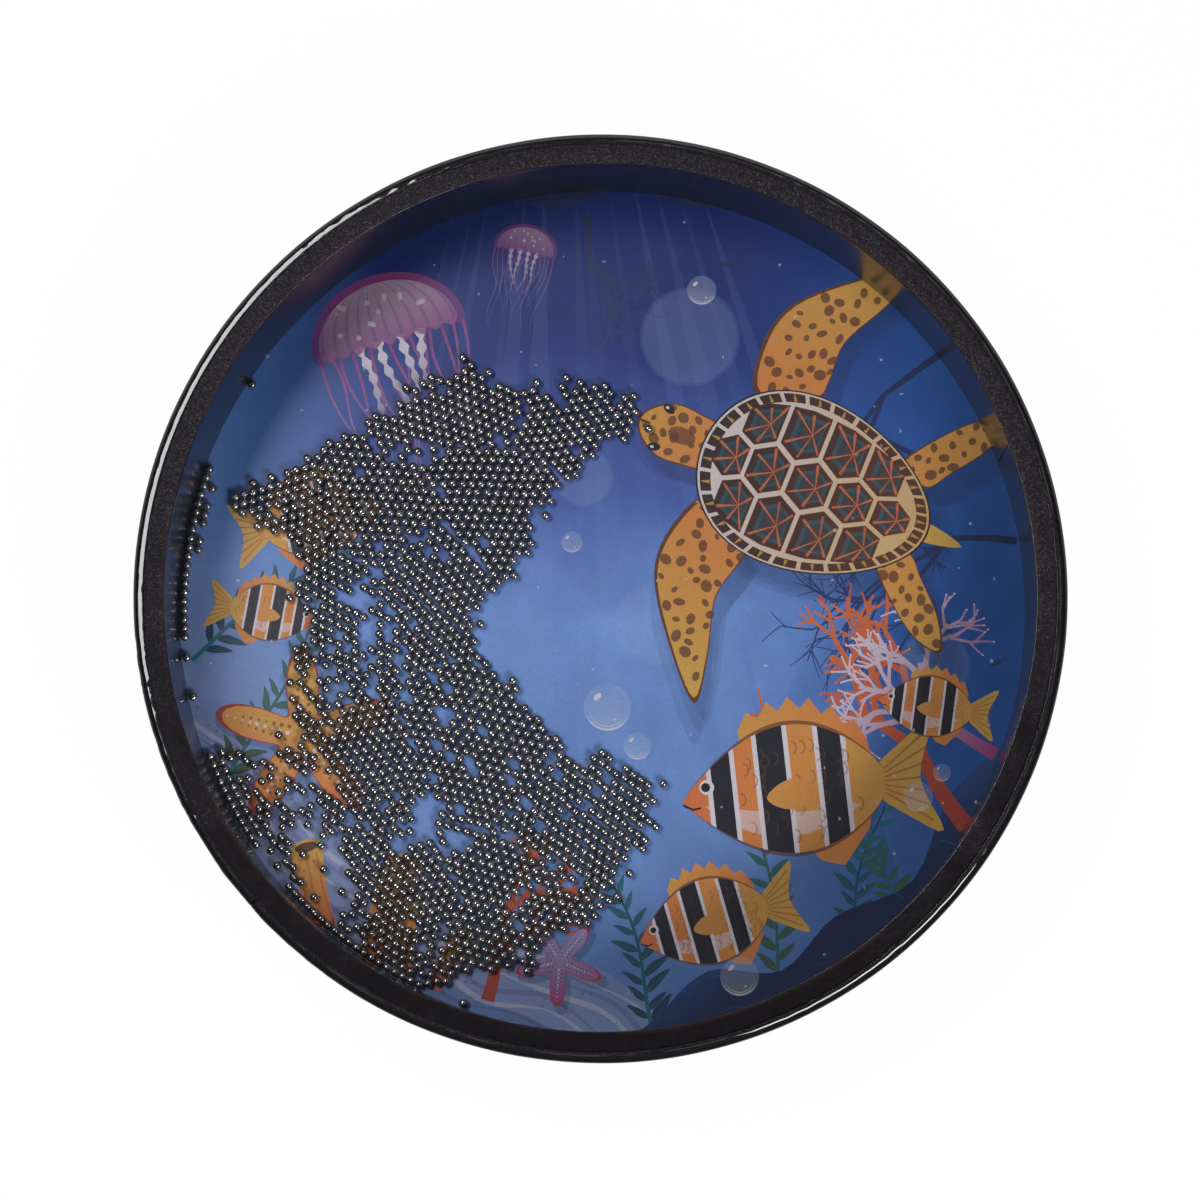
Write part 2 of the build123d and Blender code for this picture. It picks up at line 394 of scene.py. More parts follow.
def sand():
    """A bank of pale rippled sand along the lower left edge."""
    edge = smooth([(-150, -22), (-128, -40), (-104, -62), (-80, -86), (-52, -98), (-30, -112), (-8, -118),
                   (12, -130), (30, -150)], closed=False)
    bank = np.concatenate([edge, [(0, -160), (-120, -120), (-160, -40)]])
    paint(bank, (0.095, 0.165, 0.375), (0.25, 0.28, 0.46), (-40, -40), (-100, -130), cover=0.8)
    draw = random.Random(12)
    for row in range(1, 13):
        sunk = edge + np.array([-0.55, -0.85]) * row * 4.2
        sway = 1.4 * np.sin(np.arange(len(edge)) * 0.55 + draw.uniform(0, 6))
        widths = 0.4 + 1.5 * np.abs(np.sin(np.arange(len(edge)) * 0.21 + row))
        path = sunk + sway[:, None] * np.array([0.5, 0.8])
        ink = white if row % 2 else violet
        paint(ribbon(path, widths), ink, cover=0.35)
    for spot in spots_in(bank, 150, 13, 2.5):
        paint(oval(spot, draw.uniform(0.3, 0.9), draw.uniform(0.25, 0.6), steps=7), indigo, cover=0.5)


def rocks(foot, ink, fade, seed):
    """A dark heap of rock along the edge of the picture, with paler ledges."""
    draw = random.Random(seed)
    heap = smooth(foot, steps=5)
    middle = heap.mean(axis=0)
    paint(heap, ink, fade, middle, middle * 0.8)
    for spot in spots_in(heap, 26, seed, 5.0):
        size = draw.uniform(2.0, 5.5)
        ledge = [(1, 0), (0.4, 0.35), (-0.5, 0.3), (-1, -0.05), (0, 0.12)]
        paint(placed(ledge, spot, draw.uniform(-40, 40), size), fade, cover=draw.uniform(0.25, 0.6))


def kelp(root, length, lean, ink, seed):
    """A stalk of kelp with leaf blades on both sides."""
    draw = random.Random(seed)
    t = np.linspace(0, 1, 26)
    sway = 5 * np.sin(5 * t + draw.uniform(0, 6)) * t
    path = placed(pairs(t * length, sway), root, lean)
    tip = path[-1]
    for number in range(2, 25):
        side = 1 if number % 2 else -1
        heading = path[number] - path[number - 1]
        turn = math.degrees(math.atan2(heading[1], heading[0])) + side * draw.uniform(35, 60)
        size = draw.uniform(7.5, 11.5) * (1.15 - 0.6 * t[number])
        leaf = [(0, 0), (0.35, 0.16), (0.75, 0.1), (1.05, 0.04 * side), (0.72, -0.1), (0.3, -0.12)]
        blade = placed(smooth(leaf, steps=4), path[number], turn, size)
        paint(blade, ink, teal, root, tip)
        paint(ribbon([path[number], blade[len(blade) // 2]], (0.35, 0.1)), teal, cover=0.6)
    paint(ribbon(path, 1.5 - 1.1 * t), teal, ink, root, tip)


def coral(root, turn, length, width, ink, fade, seed):
    """A branching coral, its twigs paler towards the tips."""
    draw = random.Random(seed)
    root = np.array(root, float)
    tips = placed([(1.6 * length, 0)], root, turn)[0]

    def branch(start, heading, run, thick, left):
        bend = draw.uniform(-16, 16)
        turns = np.radians(heading + bend * np.linspace(0, 1, 6))
        path = start + np.cumsum(run / 5 * pairs(np.cos(turns), np.sin(turns)), axis=0)
        twig = ribbon(np.vstack([start, path]), thick * (1 - 0.35 * np.linspace(0, 1, 7)))
        paint(twig, ink, fade, root, tips)
        if left == 0:
            dot(path[-1], 0.42 * thick, fade)
            return
        for spread in draw.sample((-46, -30, -14, 14, 30, 46), draw.choice((2, 3))):
            start_at = path[draw.choice((3, 4, 5))]
            branch(start_at, heading + bend + spread, run * draw.uniform(0.62, 0.85), thick * 0.7, left - 1)

    branch(root, turn, length * 0.42, width, coral_forks)


def sponges(places, seed):
    """A clump of tube sponges with dark mouths."""
    draw = random.Random(seed)
    for foot, turn, length, width in places:
        t = np.linspace(0, 1, 8)
        path = placed(pairs(t * length, 0.9 * np.sin(3 * t)), foot, turn)
        mouth = path[-1]
        paint(ribbon(path, width * (0.6 + 0.4 * t)), orange, yellow, foot, mouth)
        for strand in (-0.28, 0.02, 0.3):
            toward_lit_side = placed([(0, strand * width)], (0, 0), turn)[0]
            paint(ribbon(path + toward_lit_side, 0.7), red, orange, foot, mouth, cover=0.55)
        paint(oval(mouth, 0.24 * width, 0.5 * width, turn), yellow)
        paint(oval(mouth, 0.15 * width, 0.36 * width, turn), brown)
        for spot in spots_in(ribbon(path, 0.8 * width), 9, draw.randrange(999), 1.5):
            dot(spot, 0.45, red, 0.7, steps=7)


def starfish(at, turn, size, ink, fade, seed):
    """A five-armed starfish with rows of knobs down its arms."""
    t = full_turn(80)
    reach = 0.30 + 0.70 * np.abs(np.cos(2.5 * t)) ** 2.6
    star = pairs(reach * np.cos(t), reach * np.sin(t))
    far = np.array(at) + np.array([0, size])
    lay = stamp(at, turn, size)
    paint(placed(star, np.array(at) + (1.5, -2.0), turn, size * 1.06), navy, cover=0.35)
    lay(star, red)
    lay(star * 0.93, ink, fade, np.array(at) - (0, size), far)
    lay(star * 0.62, fade, cover=0.35)
    draw = random.Random(seed)
    for arm in range(5):
        heading = turn + 72 * arm
        for step in range(1, 10):
            away = size * (0.10 + 0.085 * step)
            for toward_lit_side in ((0.0,) if step > 7 else (-0.055, 0.0, 0.055)):
                knob = placed([(away, toward_lit_side * size * (1.4 - 0.1 * step))], at, heading)[0]
                width = size * draw.uniform(0.014, 0.024) * (1.2 - 0.06 * step)
                dot(knob, width, white if toward_lit_side == 0 else brown, 0.8)


def jellyfish(at, turn, size, seed, cover=0.85):
    """A jellyfish: a ribbed bell with a scalloped rim, frilled arms and long tentacles behind it."""
    draw = random.Random(seed)
    t = np.linspace(0, math.pi, 26)
    rim = np.linspace(-1, 1, 41)[1:-1]
    rim_line = pairs(rim, -0.10 * np.abs(np.sin(4.5 * math.pi * (rim + 1))))
    bell = np.concatenate([pairs(np.cos(t), 0.82 * np.sin(t)), rim_line])
    top = placed([(0, 0.9)], at, turn, size)[0]
    foot = placed([(0, -0.2)], at, turn, size)[0]
    for number in range(15):
        start = -0.92 + 1.84 * number / 14
        run = draw.uniform(1.5, 2.7)
        s = np.linspace(0, 1, 24)
        wave = 0.10 * np.sin(draw.uniform(5, 9) * s + draw.uniform(0, 6)) * (0.3 + s)
        path = placed(pairs(start * (1 - 0.25 * s) + wave, -0.05 - run * s), at, turn, size)
        paint(ribbon(path, size * 0.035 * (1.1 - s)), magenta, lilac, foot, path[-1], cover=cover)
    for start in (-0.42, -0.15, 0.14, 0.40):
        s = np.linspace(0, 1, 34)
        frill = 0.10 * (1 - 0.8 * s) * (1 + 0.55 * np.sin(46 * s + draw.uniform(0, 6)))
        wave = 0.13 * np.sin(6 * s + draw.uniform(0, 6)) * s
        path = placed(pairs(start * (1 - 0.5 * s) + wave, -1.45 * s), at, turn, size)
        paint(ribbon(path, size * frill), white, violet, foot, path[-1], cover=cover)
    lay = stamp(at, turn, size)
    lay(bell, violet, magenta, foot, top, cover)
    lay(bell * (0.9, 0.88), magenta, white, foot, top, cover * 0.6)
    for number in range(11):
        start = -0.86 + 1.72 * number / 10
        s = np.linspace(0, 1, 9)
        rib = pairs(start * np.sqrt(np.maximum(0.02, 1 - s * s)), 0.76 * s)
        lay(ribbon(rib, 0.05 * (1.05 - s)), violet, cover=0.45 * cover)
    for number in range(14):
        spot = (draw.uniform(-0.6, 0.6), draw.uniform(0.1, 0.6))
        dot(placed([spot], at, turn, size)[0], 0.035 * size, white, 0.5)


def fish_height(x):
    """Half the height of a reef fish's body at x, from the root of its tail at -0.42 to its nose at 0.5."""
    s = np.clip((x + 0.42) / 0.92, 0, 1)
    return 0.055 * (1 - s) + 0.27 * np.sin(math.pi * s ** 0.92) ** 0.85


def fish_band(start, end, share=1.0, steps=9):
    """The part of a fish's side between two places along its length."""
    x = np.linspace(start, end, steps)
    y = share * fish_height(x)
    return np.concatenate([pairs(x, y), pairs(x, -0.94 * y)[::-1]])


def reef_fish(at, turn, length, seed):
    """A small banded reef fish, seen from the side."""
    draw = random.Random(seed)
    upright = 1 if math.cos(math.radians(turn)) > 0 else -1
    lay = stamp(at, turn, length, upright)
    tail, nose = placed([(-0.6, 0), (0.5, 0)], at, turn, length)
    x = np.linspace(0.22, -0.36, 13)
    comb = fish_height(x) + np.where(np.arange(13) % 2, 0.13, 0.07) * (1 - 0.5 * np.abs(x + 0.07))
    top_fin = np.concatenate([pairs(x, comb), [(-0.38, 0.03), (0.2, 0.1)]])
    low_fin = [(0.02, -0.18), (-0.1, -0.33), (-0.2, -0.36), (-0.33, -0.2), (-0.36, -0.05), (-0.1, -0.1)]
    tail_fin = smooth([(-0.37, 0.05), (-0.5, 0.16), (-0.66, 0.25), (-0.58, 0.0), (-0.66, -0.25),
                       (-0.5, -0.16), (-0.37, -0.05)], steps=4)
    lay(top_fin, orange, yellow, start=tail, end=nose)
    lay(low_fin, orange, yellow, start=tail, end=nose)
    lay(tail_fin, yellow, orange, start=tail, end=nose)
    for ray in np.linspace(-0.2, 0.2, 7):
        lay(ribbon([(-0.4, 0.2 * ray), (-0.62, ray)], (0.006, 0.012)), red, cover=0.6)
    lay(fish_band(-0.42, 0.5, 1.06, 24), brown, cover=0.8)
    lay(fish_band(-0.42, 0.5, 1.0, 24), yellow, orange, start=tail, end=nose)
    belly = [(0.4, -0.03), (0.2, -0.17), (-0.05, -0.2), (-0.3, -0.09), (-0.05, -0.1), (0.2, -0.07)]
    lay(smooth(belly, steps=4), white, cover=0.5)
    for start, end in ((0.27, 0.36), (0.02, 0.14), (-0.24, -0.14)):
        lay(fish_band(start - 0.022, end + 0.022), white, cover=0.95)
        lay(fish_band(start, end), black)
    for _ in range(44):
        scale_x = draw.uniform(-0.34, 0.24)
        scale_y = draw.uniform(-0.7, 0.7) * fish_height(scale_x)
        arc = oval((scale_x, scale_y), 0.022, 0.03, steps=8)[2:7]
        lay(ribbon(arc, 0.007), brown, cover=0.5)
    side_fin = smooth([(0.12, -0.02), (0.02, 0.05), (-0.09, 0.02), (-0.07, -0.07), (0.04, -0.08)], steps=4)
    lay(side_fin, yellow, orange, start=nose, end=tail)
    lay(oval((0.385, 0.055), 0.034, 0.034), white)
    lay(oval((0.39, 0.055), 0.021, 0.021), black)
    lay(ribbon([(0.5, -0.015), (0.455, -0.04), (0.42, -0.035)], 0.01), black)


def turtle_shell(t):
    """Points on the rim of a turtle's shell, a little wider towards its front."""
    return pairs(np.cos(t), 0.72 * np.sin(t) * (1 + 0.2 * np.cos(t)))


def turtle(at, heading, size):
    """A sea turtle seen from above: a plated shell, four spotted flippers and a blunt head."""
    draw = random.Random(21)
    shell = turtle_shell(full_turn(60))
    front = smooth([(0.78, 0.36), (0.98, 0.74), (0.96, 1.16), (0.62, 1.66), (0.26, 2.02), (0.30, 1.62),
                    (0.42, 1.14), (0.34, 0.78), (0.36, 0.6)], steps=5)
    rear = smooth([(-0.66, 0.34), (-0.88, 0.60), (-1.20, 0.84), (-1.46, 0.88), (-1.34, 0.62), (-1.08, 0.36),
                   (-0.9, 0.2)], steps=5)
    head = smooth([(0.88, 0.17), (1.10, 0.23), (1.32, 0.235), (1.5, 0.13), (1.57, 0.0), (1.5, -0.13),
                   (1.32, -0.235), (1.10, -0.23), (0.88, -0.17)], steps=5)
    mirror = np.array([1.0, -1.0])
    far_front = placed(front * mirror, (0.06, -0.02), -13)
    far_rear = placed(rear * mirror, (0.02, 0), 9)
    limbs = [front, far_front, rear, far_rear, head]
    tail_tip, beak = placed([(-1.3, 0), (1.5, 0)], at, heading, size)
    lay = stamp(at, heading, size)
    for grown in (1.10, 1.05, 1.0):
        for shape in limbs + [shell]:
            shade = placed(shape * grown, np.array(at) + (4.0, -6.5), heading, size)
            paint(shade, navy, cover=0.16)
    lay(smooth([(-0.95, 0.08), (-1.3, 0.0), (-0.95, -0.08)], steps=4), yellow)
    for number, limb in enumerate(limbs):
        middle = limb.mean(axis=0)
        lay(limb, brown)
        inner = middle + (limb - middle) * (0.93, 0.95)
        root, tip = placed([(0.4, 0), 1.6 * middle], at, heading, size)
        lay(inner, orange, yellow, start=root, end=tip)
        for spot in spots_in(middle + (limb - middle) * 0.86, 34 if number < 2 else 16, 30 + number, 0.085):
            width = draw.uniform(0.028, 0.055)
            fleck = oval(spot, width, width * draw.uniform(0.6, 0.9), draw.uniform(0, 180), steps=9)
            lay(fleck, brown, cover=0.85)
    for side in (1, -1):
        lay(oval((1.36, 0.17 * side), 0.055, 0.035, 20 * side), black)
        lay(oval((1.375, 0.175 * side), 0.016, 0.012), white)
    lay(oval((1.18, 0), 0.12, 0.07), brown, cover=0.8)
    lay(ribbon([(1.46, 0.0), (1.55, 0.0)], 0.02), brown)
    lay(shell, black)
    lay(shell * 0.985, yellow, white, start=tail_tip, end=beak)

    def plate(outline, streaks):
        """One horny plate with growth rings and pale streaks from its hind edge."""
        outline = np.array(outline)
        middle = outline.mean(axis=0)
        trimmed = middle + (outline - middle) * 0.90
        hind = middle + np.array([-0.055, 0.0])
        lay(trimmed, black, brown, start=beak, end=tail_tip)
        for shrink, ink in ((0.74, teal), (0.58, black), (0.42, brown)):
            lay(hind + (trimmed - hind) * shrink, ink, cover=0.45)
        for number in range(streaks):
            corner = trimmed[(number * len(trimmed)) // streaks]
            end = hind + (corner - hind) * draw.uniform(0.78, 0.94)
            lay(ribbon([hind, end], (0.006, draw.uniform(0.014, 0.03))), yellow, orange, cover=0.6)

    seams = np.array([0.90, 0.60, 0.24, -0.14, -0.50, -0.84])
    waists = [0.10, 0.13, 0.13, 0.12, 0.11, 0.07]
    middles = (seams[:-1] + seams[1:]) / 2
    inner_ends = 0.25 - 0.03 * np.abs(np.arange(5) - 1.5)
    outer_ends = 0.84 * turtle_shell(np.arccos(middles))[:, 1]
    for row in range(5):
        ahead, behind = (seams[row], waists[row]), (seams[row + 1], waists[row + 1])
        half_plate = [ahead, (middles[row], inner_ends[row]), behind]
        plate(half_plate + [(x, -y) for x, y in reversed(half_plate)], 12)
    for side in (1, -1):
        for row in range(4):
            ahead, behind = middles[row], middles[row + 1]
            crown = ((ahead + behind) / 2, (outer_ends[row] + outer_ends[row + 1]) / 2 + 0.02)
            outline = [(ahead, inner_ends[row]), (ahead, outer_ends[row]), crown,
                       (behind, outer_ends[row + 1]), (behind, inner_ends[row + 1]),
                       (seams[row + 1], waists[row + 1])]
            plate(np.array(outline) * (1, side), 11)
    rim_plates = 26
    for number in range(rim_plates):
        sweep = np.linspace(number + 0.08, number + 0.92, 5) * 2 * math.pi / rim_plates
        edge = turtle_shell(sweep)
        lay(np.concatenate([edge * 0.965, (edge * 0.875)[::-1]]), black, brown, start=beak, end=tail_tip)
        lay(ribbon([edge[2] * 0.885, edge[2] * 0.955], (0.03, 0.008)), yellow, cover=0.7)


def bubble(at, radius):
    """A bubble: a faint clear disc with a bright rim and a glint."""
    x, y = at
    paint(oval(at, radius, radius, steps=40), pale_blue, white, (x, y + radius), (x, y - radius), cover=0.22)
    t = np.linspace(math.radians(-160), math.radians(-20), 18)
    for share, width in ((0.93, 0.08), (0.80, 0.035)):
        arc = pairs(x + share * radius * np.cos(t), y + share * radius * np.sin(t))
        paint(ribbon(arc, width * radius * np.sin(np.linspace(0.1, math.pi - 0.1, 18))), white, cover=0.75)
    paint(oval((x - 0.42 * radius, y + 0.45 * radius), 0.20 * radius, 0.11 * radius, 40), white, cover=0.9)
    paint(oval((x + 0.30 * radius, y - 0.50 * radius), 0.07 * radius, 0.05 * radius, 40), white, cover=0.7)


def distant_fish(middle, count, seed):
    """A shoal of small dark fish, far off in the water."""
    draw = random.Random(seed)
    shape = smooth([(0.5, 0), (0.2, 0.15), (-0.25, 0.05), (-0.5, 0.16), (-0.42, 0), (-0.5, -0.16),
                    (-0.25, -0.05), (0.2, -0.15)], steps=3)
    for _ in range(count):
        at = (middle[0] + draw.gauss(0, 15), middle[1] + draw.gauss(0, 8))
        swimmer = placed(shape, at, draw.uniform(185, 215), draw.uniform(4.5, 7.5))
        paint(swimmer, navy, cover=draw.uniform(0.3, 0.6))


def draw_picture():
    """The picture, from the far water to the things in front. Places are millimetres from the middle."""
    light_rays()
    distant_fish((20, 112), 22, 41)
    distant_fish((112, -18), 14, 42)
    sand()
    rocks([(-84, 142), (-62, 135), (-40, 141), (-14, 136), (10, 144), (34, 136), (58, 141), (84, 126),
           (108, 118), (92, 150), (0, 170), (-70, 155)], navy, indigo, 70)
    for root, turn, length, seed in (((136, 55), 190, 62, 51), ((140, 22), 172, 55, 52),
                                     ((118, 88), 214, 55, 53), ((-4, 134), 264, 34, 54)):
        coral(root, turn, length, 2.6, navy, indigo, seed)
    kelp((60, -140), 88, 96, moss, 61)
    kelp((84, -128), 62, 84, navy, 62)
    kelp((18, -146), 70, 104, navy, 63)
    kelp((104, -112), 52, 118, moss, 64)
    rocks([(150, -40), (118, -62), (104, -92), (78, -104), (60, -122), (36, -122), (20, -136),
           (10, -152), (90, -150)], navy, sea_blue, 71)
    coral((122, -74), 128, 58, 6.0, red, orange, 72)
    coral((132, -50), 150, 46, 4.6, magenta, white, 73)
    coral((-38, -132), 74, 44, 4.6, red, orange, 74)
    sponges([((-78, -120), 70, 36, 12), ((-66, -124), 88, 27, 10), ((-92, -108), 104, 28, 11),
             ((-56, -128), 60, 20, 8)], 75)
    kelp((-128, -62), 84, 62, moss, 65)
    kelp((-138, -18), 70, 40, navy, 66)
    starfish((-100, -44), 20, 31, orange, yellow, 76)
    starfish((-14, -119), 50, 15, magenta, lilac, 77)
    jellyfish((-72, 92), 18, 27, 81)
    jellyfish((-26, 122), -12, 11, 82, cover=0.55)
    for at, radius in (((18, -6), 14.0), ((-6, 44), 10.0), ((30, 92), 17.0), ((112, -20), 12.0)):
        for share in (1.0, 0.94):
            dot(at, share * radius, pale_blue, 0.07, steps=48)
    turtle((72, 40), 158, 41)
    for at, turn, length, seed in (((64, -62), 186, 74, 91), ((110, -34), 172, 34, 92),
                                   ((36, -106), 196, 48, 93), ((-96, 30), 12, 44, 97),
                                   ((-112, -2), 350, 32, 98)):
        reef_fish(at, turn, length, seed)
    for at, radius in (((2, -34), 8.0), ((12, -47), 4.6), ((-7, -55), 3.2), ((6, -66), 2.4),
                       ((112, 100), 6.0), ((122, 88), 3.4), ((34, 108), 5.0), ((46, -124), 6.5),
                       ((-46, 66), 5.0), ((-10, 22), 3.6), ((106, -64), 5.0), ((114, -56), 3.0)):
        bubble(at, radius)
    draw = random.Random(99)
    for _ in range(130):
        at = (draw.uniform(-135, 135), draw.uniform(-135, 135))
        grit = oval(at, draw.uniform(0.25, 0.7), draw.uniform(0.25, 0.7), steps=7)
        paint(grit, white, cover=draw.uniform(0.2, 0.6))


def printed_mesh():
    """The film as a thin disc. Its top is cut along every outline of the picture and holds the inks."""
    corners = [oval((0, 0), head_radius, head_radius, steps=rim_steps)]
    corners += [shape[0] for shape in picture]
    edges = []
    first = 0
    for outline in corners:
        count = len(outline)
        edges += [(first + i, first + (i + 1) % count) for i in range(count)]
        first += count
    cut = delaunay_2d_cdt([Vector(point) for point in np.concatenate(corners)], edges, [], 0, 1e-4, False)
    points = np.array([tuple(point) for point in cut[0]])
    triangles = np.array(cut[2])
    middles = points[triangles].mean(axis=1)
    inks = np.zeros((len(triangles), 3, 4))
    for outline, ink, fade, start, end, cover in picture:
        low, high = outline.min(axis=0), outline.max(axis=0)
        near = np.nonzero(((middles >= low) & (middles <= high)).all(axis=1))[0]
        under = near[inside(outline, middles[near])]
        run = end - start
        share = np.clip((points[triangles[under]] - start) @ run / (run @ run), 0, 1)[..., None]
        inks[under] *= 1 - cover
        inks[under, :, :3] += cover * (ink + share * (fade - ink))
        inks[under, :, 3] += cover
    inks[..., :3] /= np.maximum(inks[..., 3:], 1e-6)

    mesh = bpy.data.meshes.new("printed_head")
    top = np.column_stack([points * mm, np.full(len(points), head_high.z)])
    mesh.from_pydata(top.tolist(), [], triangles.tolist())
    layer = mesh.color_attributes.new("ink", "FLOAT_COLOR", "CORNER")
    layer.data.foreach_set("color", inks.ravel().astype(np.float32))
    shape = bmesh.new()
    shape.from_mesh(mesh)
    rim = [edge for edge in shape.edges if edge.is_boundary]
    dropped = bmesh.ops.extrude_edge_only(shape, edges=rim)["geom"]
    for corner in (item for item in dropped if isinstance(item, bmesh.types.BMVert)):
        corner.co.z = head_low.z
    lower_rim = [item for item in dropped if isinstance(item, bmesh.types.BMEdge) and item.is_boundary]
    bmesh.ops.contextual_create(shape, geom=lower_rim)
    bmesh.ops.recalc_face_normals(shape, faces=shape.faces)
    for face in shape.faces:
        face.material_index = 0 if face.normal.z > 0.5 else 1
    shape.to_mesh(mesh)
    shape.free()
    return mesh


def printed_film():
    """Satin film with the picture's inks over a printed water ground that runs from indigo to sky blue, with
    painted light at the upper left.
    """
    material, tree = new_material("printed_film")
    place = object_place(tree)
    soft = add(tree, "TexNoise", {"Vector": place, "Scale": 14.0, "Detail": 3.0}).outputs["Color"]
    spread = {0: soft, 1: (0.05, 0.05, 0.0), 2: place}
    drift = add(tree, "VectorMath", spread, operation="MULTIPLY_ADD").outputs[0]
    axes = add(tree, "SeparateXYZ", {"Vector": drift})
    across, up = axes.outputs["X"], axes.outputs["Y"]
    depth = work_out(tree, "MULTIPLY_ADD", up, 1 / 0.285, 0.42)
    ramp = add(tree, "ValToRGB", {"Fac": depth})
    stops = ramp.color_ramp.elements
    water = [(0.0, (0.080, 0.170, 0.400)), (0.28, (0.130, 0.240, 0.540)), (0.50, (0.155, 0.285, 0.650)),
             (0.64, (0.068, 0.122, 0.405)), (0.80, (0.012, 0.032, 0.196)), (1.0, (0.005, 0.018, 0.125))]
    stops[0].position, stops[0].color = water[0][0], (*water[0][1], 1.0)
    stops[1].position, stops[1].color = water[-1][0], (*water[-1][1], 1.0)
    for position, colour in water[1:-1]:
        stops.new(position).color = (*colour, 1.0)
    ground = blend(tree, rise(tree, across, 0.055, 0.150), ramp.outputs["Color"], (0.014, 0.080, 0.310))
    # Painted light: the ground is made brighter near the upper-left wall, where that wall shades the
    # upper-left lamp, on top of the printed water's own paler blue there.
    print_and_light_left = times(tree, rise(tree, across, -0.05, -0.12), rise(tree, up, -0.02, 0.03))
    ground = blend(tree, print_and_light_left, ground, (0.096, 0.245, 0.620))
    low_left = rise(tree, work_out(tree, "ADD", across, times(tree, up, 0.55)), -0.03, -0.12)
    ground = blend(tree, times(tree, low_left, 0.75), ground, (0.190, 0.260, 0.470))
    clouds = grain(tree, place, 22 * mm, detail=5.0, roughness=0.6)
    ground = blend(tree, rise(tree, clouds, 0.35, 0.72), blend(tree, 0.16, ground, navy), ground)
    ink = add(tree, "Attribute", {}, attribute_name="ink", attribute_type="GEOMETRY")
    print_colour = blend(tree, ink.outputs["Alpha"], ground, ink.outputs["Color"])
    dots = grain(tree, place, 0.5 * mm, detail=1.0)
    dotted = blend(tree, 0.14, print_colour, black)
    print_colour = blend(tree, rise(tree, dots, 0.30, 0.80), dotted, print_colour)
    inputs = {
        "Base Color": print_colour,
        "Roughness": work_out(tree, "MULTIPLY_ADD", clouds, 0.12, 0.30),
        "IOR": 1.45,
        "Normal": bumps(tree, dots, 0.006 * mm),
    }
    return coat(material, inputs)


def film_back():
    """The unprinted back of the film: plain blue satin with faint rolling marks."""
    material, tree = new_material("printed_film_back")
    place = object_place(tree)
    stretched = add(tree, "VectorMath", {0: place, 1: (1.0, 12.0, 1.0)}, operation="MULTIPLY").outputs[0]
    marks = grain(tree, stretched, 9 * mm, detail=4.0)
    inputs = {
        "Base Color": blend(tree, marks, (0.070, 0.120, 0.260), (0.110, 0.170, 0.340)),
        "Roughness": work_out(tree, "MULTIPLY_ADD", marks, 0.15, 0.32),
        "Normal": bumps(tree, marks, 0.01 * mm),
    }
    return coat(material, inputs)


draw_picture()
printed_head = add_piece("printed_head", printed_mesh(), printed_film())
printed_head.data.materials.append(film_back())
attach(printed_head, "drum")
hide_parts("lower_head")


# The shot
# Loose balls of polished bearing steel, lying one deep on the printed head.
# Each node's balls are drawn again as smooth balls in the same places, some brighter or smoother than others.

ball_radius = 1.5
ball_detail = 3
top_slack = 0.0005


def ball_middles(node):
    """The middle of each ball of a node, straight below the ball's topmost point."""
    vertices = frame["nodes"][node].data.vertices
    points = np.empty(3 * len(vertices))
    vertices.foreach_get("co", points)
    points = points.reshape(-1, 3)
    tops = points[points[:, 2] > points[:, 2].max() - top_slack * mm]
    return np.unique(tops.round(6), axis=0) - (0.0, 0.0, ball_radius * mm)


def ball_mesh(node):
    """A node's balls, all copies of one ball."""
    shape = bmesh.new()
    bmesh.ops.create_icosphere(shape, subdivisions=ball_detail, radius=ball_radius * mm)
    shape.verts.ensure_lookup_table()
    corners = np.array([tuple(vert.co) for vert in shape.verts])
    triangles = np.array([[vert.index for vert in face.verts] for face in shape.faces])
    shape.free()
    middles = ball_middles(node)
    points = middles[:, None] + corners
    faces = np.arange(len(middles))[:, None, None] * len(corners) + triangles
    mesh = bpy.data.meshes.new(node)
    mesh.from_pydata(points.reshape(-1, 3).tolist(), [], faces.reshape(-1, 3).tolist())
    mesh.shade_smooth()
    return mesh


def steel_shot():
    """Polished steel under a thin grey skin of dust, a little different on each ball."""
    material, tree = new_material("steel_shot")
    place = object_place(tree)
    ball = add(tree, "NewGeometry", {}).outputs["Random Per Island"]
    smear = grain(tree, place, 0.9 * mm, detail=3.0)
    shade = blend(tree, ball, (0.33, 0.314, 0.318), (0.43, 0.410, 0.415))
    inputs = {
        "Base Color": blend(tree, rise(tree, smear, 0.45, 0.75), shade, (0.24, 0.228, 0.231)),
        "Metallic": 0.93,
        "Roughness": work_out(tree, "MULTIPLY_ADD", ball, 0.03, 0.06),
    }
    return coat(material, inputs)


steel = steel_shot()
for body, nodes in frame["record"]["behaviour"]["bodies"].items():
    for node in nodes:
        if node.startswith(("shot_", "wall_shot_", "stray_")):
            balls = add_piece(f"{node}_balls", ball_mesh(node), steel)
            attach(balls, body)
            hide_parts(node)


# The bonds
# Rings of black contact adhesive that hold the two films to the hoop's rims.
# The upper one shows through the clear film as the drum's flat black rim, mottled with fibre and trapped air,
# and painted paler towards its top side as painted light.

rim_inner = lining_outer
bond_low, bond_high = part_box("upper_bond")
rim_outer = bond_high.x / mm
bond_sink = 0.015
bond_steps = 720


def off_axis(tree, place):
    """How far a place is from the drum's axis."""
    flat = add(tree, "VectorMath", {0: place, 1: (1.0, 1.0, 0.0)}, operation="MULTIPLY").outputs[0]
    return add(tree, "VectorMath", {0: flat}, operation="LENGTH").outputs["Value"]


def bond_mesh():
    """The upper ring. It stays a hair below the film, and its inner edge is uneven."""
    turns = full_turn(bond_steps)
    inner = rim_inner + 0.07 + 0.05 * ripple(turns, (37, 59, 83, 131), 9)
    low = bond_low.z / mm
    high = bond_high.z / mm - bond_sink
    loop = [(inner, low), (inner, high), (rim_outer, high), (rim_outer, low)]
    return wound_strip("glue_ring", loop, turns, closed=True)


